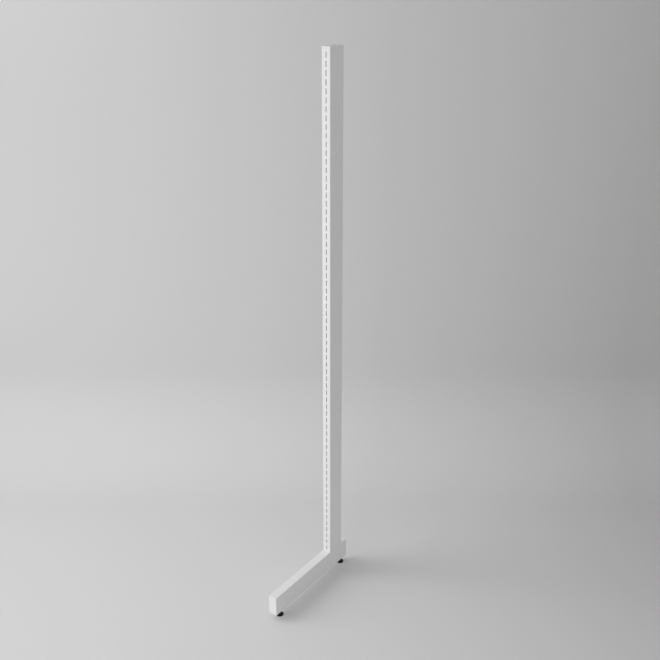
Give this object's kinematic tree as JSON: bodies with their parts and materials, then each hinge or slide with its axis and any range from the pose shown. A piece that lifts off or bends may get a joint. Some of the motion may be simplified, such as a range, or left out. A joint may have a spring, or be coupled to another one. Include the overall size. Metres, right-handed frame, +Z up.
{
  "type": "slotted upright",
  "caption": "Free-standing slotted steel upright with an L-shaped foot, a push-in top cap and levelling feet, for hook-in shelf brackets and partition panels.",
  "frame": {"origin": "on the floor at the centre of the footprint", "axes": "+Z up along the post, -Y to the front, where the slots face and the long side of the leg points, +X to the side"},
  "size_m": [0.03, 0.4066, 1.808],
  "materials": {
    "white_powder_coat": "satin white powder coat with a fine orange-peel texture",
    "white_plastic": "moulded white plastic with a fine grain",
    "zinc_plated_steel": "bright zinc plating",
    "blackened_steel": "black oxide",
    "black_plastic": "moulded black plastic"
  },
  "bodies": {
    "frame": {"post_tube": "white_powder_coat", "post_top_cap": "white_plastic", "post_foot_plate": "white_powder_coat", "leg_tube": "white_powder_coat", "leg_front_plate": "white_powder_coat", "leg_rear_plate": "white_powder_coat", "leg_clamp_plate": "white_powder_coat", "front_joint_screw": "zinc_plated_steel", "rear_joint_screw": "zinc_plated_steel", "front_joint_washer": "zinc_plated_steel", "rear_joint_washer": "zinc_plated_steel", "front_foot_nut": "zinc_plated_steel", "rear_foot_nut": "zinc_plated_steel"},
    "front_pad": {"front_foot_pad": "black_plastic"},
    "front_stem": {"front_foot_stem": "blackened_steel"},
    "rear_pad": {"rear_foot_pad": "black_plastic"},
    "rear_stem": {"rear_foot_stem": "blackened_steel"}
  },
  "joints": [
    {"name": "front_foot_height", "type": "slide", "parent": "frame", "child": "front_pad", "axis": [0, 0, 1], "range_m": [-0.01751, 0.01251]},
    {"name": "front_foot_turn", "type": "hinge", "parent": "front_pad", "child": "front_stem", "pos_m": [0, -0.16775, 0.0065], "axis": [0, 0, 1], "range_deg": [-5040, 3600]},
    {"name": "rear_foot_height", "type": "slide", "parent": "frame", "child": "rear_pad", "axis": [0, 0, 1], "range_m": [-0.01751, 0.01251]},
    {"name": "rear_foot_turn", "type": "hinge", "parent": "rear_pad", "child": "rear_stem", "pos_m": [0, 0.18575, 0.0065], "axis": [0, 0, 1], "range_deg": [-5040, 3600]}
  ],
  "couplings": [
    {"joint": "front_foot_height", "follows": "front_foot_turn", "m_per_rad": 0.00019894},
    {"joint": "rear_foot_height", "follows": "rear_foot_turn", "m_per_rad": 0.00019894}
  ]
}
